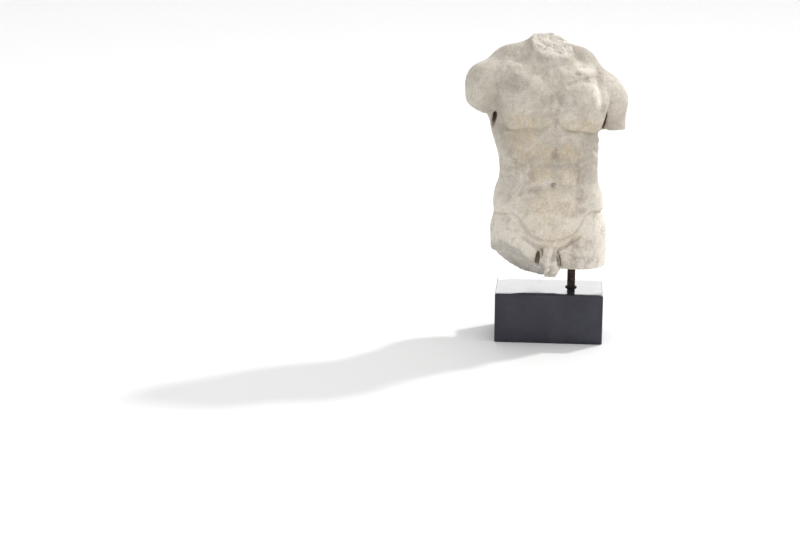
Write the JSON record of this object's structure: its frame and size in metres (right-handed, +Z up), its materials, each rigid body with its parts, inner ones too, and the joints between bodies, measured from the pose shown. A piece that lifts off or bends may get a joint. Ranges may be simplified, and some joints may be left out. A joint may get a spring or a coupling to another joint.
{
  "type": "torso sculpture",
  "caption": "Weathered marble male torso, broken at neck, arms and thighs, carried on a steel rod above a black rectangular block, for display on a table, shelf or plinth.",
  "frame": {"origin": "centre of the block's underside, which stands on the table", "axes": "+Z up; the chest faces -Y; +X is to the right of someone looking at the chest"},
  "size_m": [0.3203, 0.1888, 0.6024],
  "materials": {
    "torso": "weathered, matt marble with ochre patina in its pits",
    "support_rod": "dark, rust-brown steel",
    "rod_collar": "blackened steel",
    "base_block": "black, satin honed stone"
  },
  "bodies": {
    "root": {"torso": "torso", "support_rod": "support_rod", "rod_collar": "rod_collar", "base_block": "base_block"}
  },
  "joints": []
}
